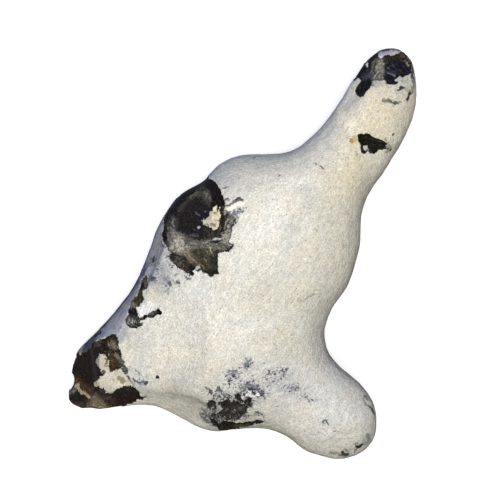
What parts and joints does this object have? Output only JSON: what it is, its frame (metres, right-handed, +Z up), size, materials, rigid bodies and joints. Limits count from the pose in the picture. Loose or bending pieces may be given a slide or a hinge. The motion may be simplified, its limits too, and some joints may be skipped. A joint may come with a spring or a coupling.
{
  "type": "flint nodule",
  "caption": "Horned flint nodule in a white chalk rind, with dark glassy flake scars on its crest, broken arm, belly and horn tip; lies on a small flat spot.",
  "frame": {"origin": "centre of the bounding box's footprint, on the floor that the stone lies on", "axes": "+Z up, out of the face with the flake scars; +Y along the plan's longest extent, towards the horn's tip; +X towards the horn and the foot, -X towards the broken arm"},
  "size_m": [0.1754, 0.2055, 0.0711],
  "materials": {
    "chalk_rind": "matte"
  },
  "bodies": {
    "root": {"flint_nodule": "chalk_rind"}
  },
  "joints": []
}
